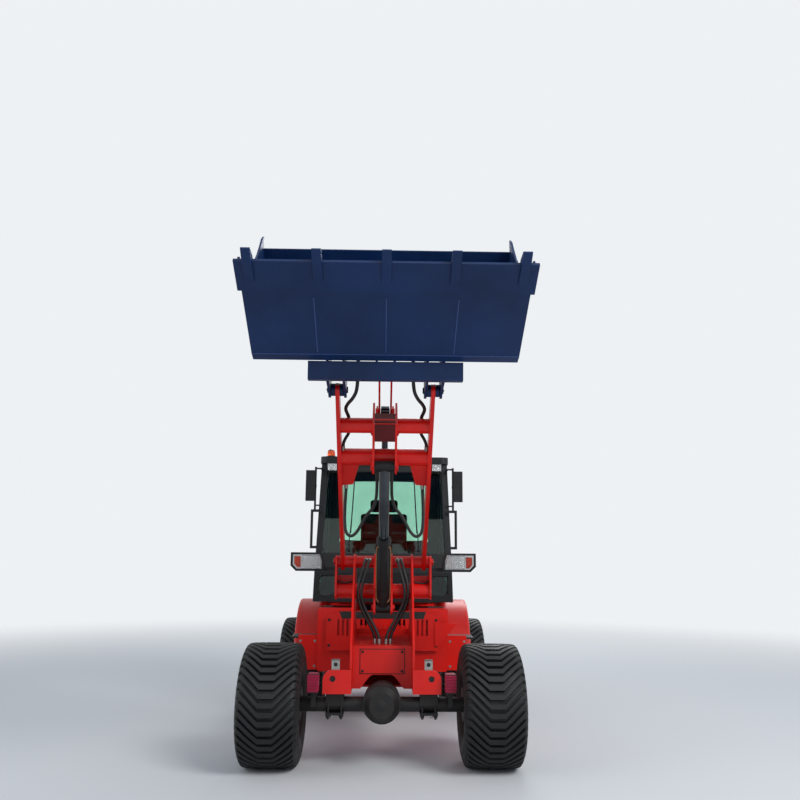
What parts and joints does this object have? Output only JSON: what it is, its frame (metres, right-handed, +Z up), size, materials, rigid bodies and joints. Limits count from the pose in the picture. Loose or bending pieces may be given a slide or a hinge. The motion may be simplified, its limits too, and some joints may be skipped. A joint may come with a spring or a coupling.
{
  "type": "wheel loader",
  "caption": "Compact articulated wheel loader with a raised boom, a toothed bucket on a tilt linkage, a glazed cab and a hinged hood.",
  "frame": {"origin": "on the ground below the middle of the whole machine with its boom raised", "axes": "+Z up, -Y forward towards the bucket, +X towards the machine's left side"},
  "size_m": [1.874, 4.8464, 3.3586],
  "materials": {
    "red_paint": "gloss paint",
    "navy_paint": "worn gloss paint",
    "black_paint": "satin paint",
    "steel": "bare steel",
    "chrome": "dark polished",
    "glass": "tinted",
    "tyre": "matt rubber",
    "hose": "matt rubber",
    "black": "moulded",
    "red_lens": "lens",
    "orange_lens": "lens"
  },
  "bodies": {
    "rear_frame": {"rear_frame": "red_paint", "front_panel": "red_paint", "tanks": "red_paint", "steps": "black_paint", "engine": "black_paint", "counterweight": "red_paint", "tail_lamps": "red_lens", "fenders": "red_paint", "cab": "black_paint", "cab_roof": "black_paint", "windshield": "glass", "lower_windows": "glass", "rear_windows": "glass", "seat": "black", "steering_wheel": "black", "mirrors": "black", "grab_rails": "black_paint", "work_lamps": "black", "beacon": "orange_lens", "hood_hinge": "black_paint", "exhaust": "steel", "rear_axle": "black_paint"},
    "front_frame": {"front_frame": "red_paint", "nose_cover": "red_paint", "tower_hoses": "hose", "headlamps": "black", "front_axle": "black_paint"},
    "boom": {"boom": "red_paint"},
    "bucket": {"bucket": "navy_paint", "coupler": "navy_paint"},
    "rocker": {"rocker": "red_paint"},
    "tilt_link": {"tilt_link": "red_paint"},
    "lift_barrel": {"lift_barrel": "black_paint"},
    "lift_rod": {"lift_rod": "chrome"},
    "tilt_barrel": {"tilt_barrel": "black_paint"},
    "tilt_rod": {"tilt_rod": "chrome"},
    "door_left": {"door_left": "black_paint", "door_glass_left": "glass"},
    "door_right": {"door_right": "black_paint", "door_glass_right": "glass"},
    "hood": {"hood": "red_paint"},
    "wheel_front_left": {"tyre_front_left": "tyre", "rim_front_left": "black_paint"},
    "wheel_front_right": {"tyre_front_right": "tyre", "rim_front_right": "black_paint"},
    "wheel_rear_left": {"tyre_rear_left": "tyre", "rim_rear_left": "black_paint"},
    "wheel_rear_right": {"tyre_rear_right": "tyre", "rim_rear_right": "black_paint"}
  },
  "joints": [
    {"name": "articulation", "type": "hinge", "parent": "rear_frame", "child": "front_frame", "pos_m": [0, 0.37319, 0.625], "axis": [0, 0, 1], "range_deg": [-35, 35]},
    {"name": "boom_lift", "type": "hinge", "parent": "front_frame", "child": "boom", "pos_m": [0, -0.23681, 1.33], "axis": [-1, 0, 0], "range_deg": [-80, 3]},
    {"name": "bucket_tilt", "type": "hinge", "parent": "boom", "child": "bucket", "pos_m": [0, -1.3771, 2.41209], "axis": [1, 0, 0], "range_deg": [-50, 65]},
    {"name": "rocker_turn", "type": "hinge", "parent": "boom", "child": "rocker", "pos_m": [0, -0.99607, 2.20492], "axis": [1, 0, 0], "range_deg": [-49.5, 64.5]},
    {"name": "link_turn", "type": "hinge", "parent": "rocker", "child": "tilt_link", "pos_m": [0, -0.93355, 2.35651], "axis": [1, 0, 0], "range_deg": [-64.5, 49.5]},
    {"name": "lift_barrel_turn", "type": "hinge", "parent": "front_frame", "child": "lift_barrel", "pos_m": [0, -0.41681, 1.01], "axis": [-1, 0, 0], "range_deg": [-86.5, 3.5]},
    {"name": "lift_rod_slide", "type": "slide", "parent": "lift_barrel", "child": "lift_rod", "axis": [0, -0.5679, 0.8231], "range_m": [-0.518, 0.0196]},
    {"name": "tilt_barrel_turn", "type": "hinge", "parent": "boom", "child": "tilt_barrel", "pos_m": [0, -0.23681, 1.33], "axis": [1, 0, 0], "range_deg": [-3, 3.9]},
    {"name": "tilt_rod_slide", "type": "slide", "parent": "tilt_barrel", "child": "tilt_rod", "axis": [0, -0.5616, 0.8274], "range_m": [-0.0755, 0.098]},
    {"name": "door_left_hinge", "type": "hinge", "parent": "rear_frame", "child": "door_left", "pos_m": [0.602, 1.27319, 1.58], "axis": [0, 0, 1], "range_deg": [0, 80]},
    {"name": "door_right_hinge", "type": "hinge", "parent": "rear_frame", "child": "door_right", "pos_m": [-0.602, 1.27319, 1.58], "axis": [0, 0, -1], "range_deg": [0, 80]},
    {"name": "hood_hinge_turn", "type": "hinge", "parent": "rear_frame", "child": "hood", "pos_m": [0, 1.53819, 1.45], "axis": [1, 0, 0], "range_deg": [0, 55]},
    {"name": "wheel_front_left_spin", "type": "hinge", "parent": "front_frame", "child": "wheel_front_left", "pos_m": [0.733, -0.67681, 0.395], "axis": [1, 0, 0], "continuous": true},
    {"name": "wheel_front_right_spin", "type": "hinge", "parent": "front_frame", "child": "wheel_front_right", "pos_m": [-0.733, -0.67681, 0.395], "axis": [1, 0, 0], "continuous": true},
    {"name": "wheel_rear_left_spin", "type": "hinge", "parent": "rear_frame", "child": "wheel_rear_left", "pos_m": [0.733, 1.42319, 0.395], "axis": [1, 0, 0], "continuous": true},
    {"name": "wheel_rear_right_spin", "type": "hinge", "parent": "rear_frame", "child": "wheel_rear_right", "pos_m": [-0.733, 1.42319, 0.395], "axis": [1, 0, 0], "continuous": true}
  ],
  "couplings": [
    {"joint": "rocker_turn", "follows": "bucket_tilt", "ratio": 0.985},
    {"joint": "link_turn", "follows": "bucket_tilt", "ratio": -0.985},
    {"joint": "lift_barrel_turn", "follows": "boom_lift", "ratio": 1.075},
    {"joint": "lift_rod_slide", "follows": "boom_lift", "m_per_rad": 0.37},
    {"joint": "tilt_barrel_turn", "follows": "bucket_tilt", "ratio": 0.0575},
    {"joint": "tilt_rod_slide", "follows": "bucket_tilt", "m_per_rad": 0.085}
  ]
}
